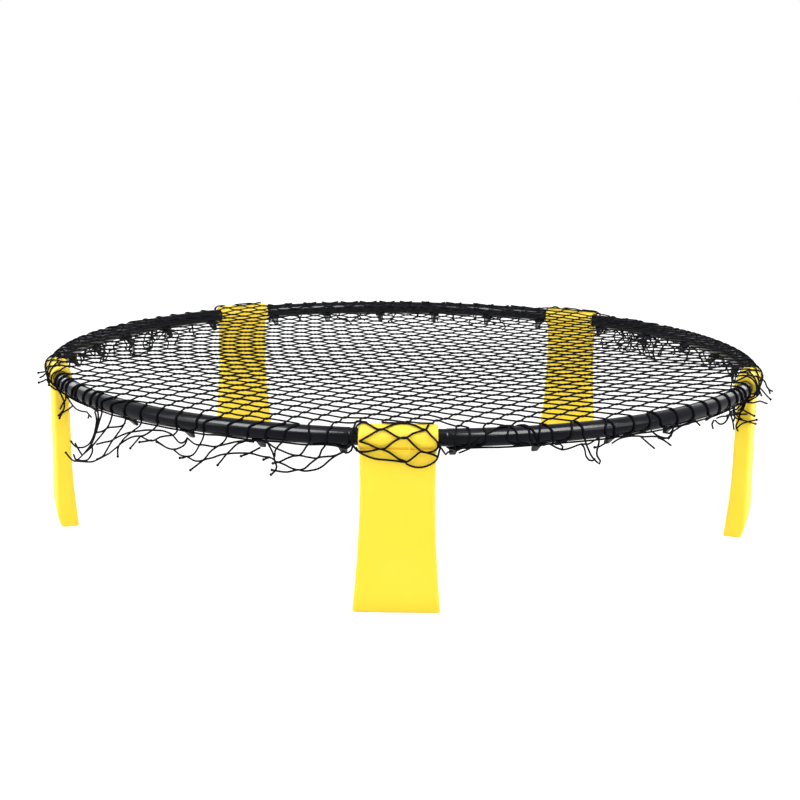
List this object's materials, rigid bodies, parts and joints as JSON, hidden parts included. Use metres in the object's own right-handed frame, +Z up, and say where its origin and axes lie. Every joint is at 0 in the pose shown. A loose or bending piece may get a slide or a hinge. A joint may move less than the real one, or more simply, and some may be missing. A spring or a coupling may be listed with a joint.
{
  "type": "round net set",
  "caption": "Low round net for a bouncing-ball game: a net strained over a black tubular ring that stands on flat yellow legs, which fold in under it.",
  "frame": {"origin": "on the floor under the centre of the ring", "axes": "+Z up, -Y towards the first leg, so that the ring lies level at +Z and the five legs follow each other every 72 degrees counterclockwise seen from above"},
  "size_m": [0.9166, 0.9188, 0.2008],
  "materials": {
    "rim_plastic": "satin moulded plastic",
    "leg_plastic": "smooth moulded plastic",
    "net_cord": "braided cord"
  },
  "bodies": {
    "ring": {"rim_tube_1": "rim_plastic", "rim_tube_2": "rim_plastic", "rim_tube_3": "rim_plastic", "rim_tube_4": "rim_plastic", "rim_tube_5": "rim_plastic", "net": "net_cord", "net_edge": "net_cord"},
    "leg_1": {"leg_1": "leg_plastic"},
    "leg_2": {"leg_2": "leg_plastic"},
    "leg_3": {"leg_3": "leg_plastic"},
    "leg_4": {"leg_4": "leg_plastic"},
    "leg_5": {"leg_5": "leg_plastic"}
  },
  "joints": [
    {"name": "leg_1_fold", "type": "hinge", "parent": "ring", "child": "leg_1", "pos_m": [0, -0.44436, 0.185], "axis": [1, 0, 0], "range_deg": [0, 85]},
    {"name": "leg_2_fold", "type": "hinge", "parent": "ring", "child": "leg_2", "pos_m": [0.42261, -0.13731, 0.185], "axis": [0.309, 0.9511, 0], "range_deg": [0, 85]},
    {"name": "leg_3_fold", "type": "hinge", "parent": "ring", "child": "leg_3", "pos_m": [0.26119, 0.3595, 0.185], "axis": [-0.809, 0.5878, 0], "range_deg": [0, 85]},
    {"name": "leg_4_fold", "type": "hinge", "parent": "ring", "child": "leg_4", "pos_m": [-0.26119, 0.3595, 0.185], "axis": [-0.809, -0.5878, 0], "range_deg": [0, 85]},
    {"name": "leg_5_fold", "type": "hinge", "parent": "ring", "child": "leg_5", "pos_m": [-0.42261, -0.13731, 0.185], "axis": [0.309, -0.9511, 0], "range_deg": [0, 85]}
  ]
}
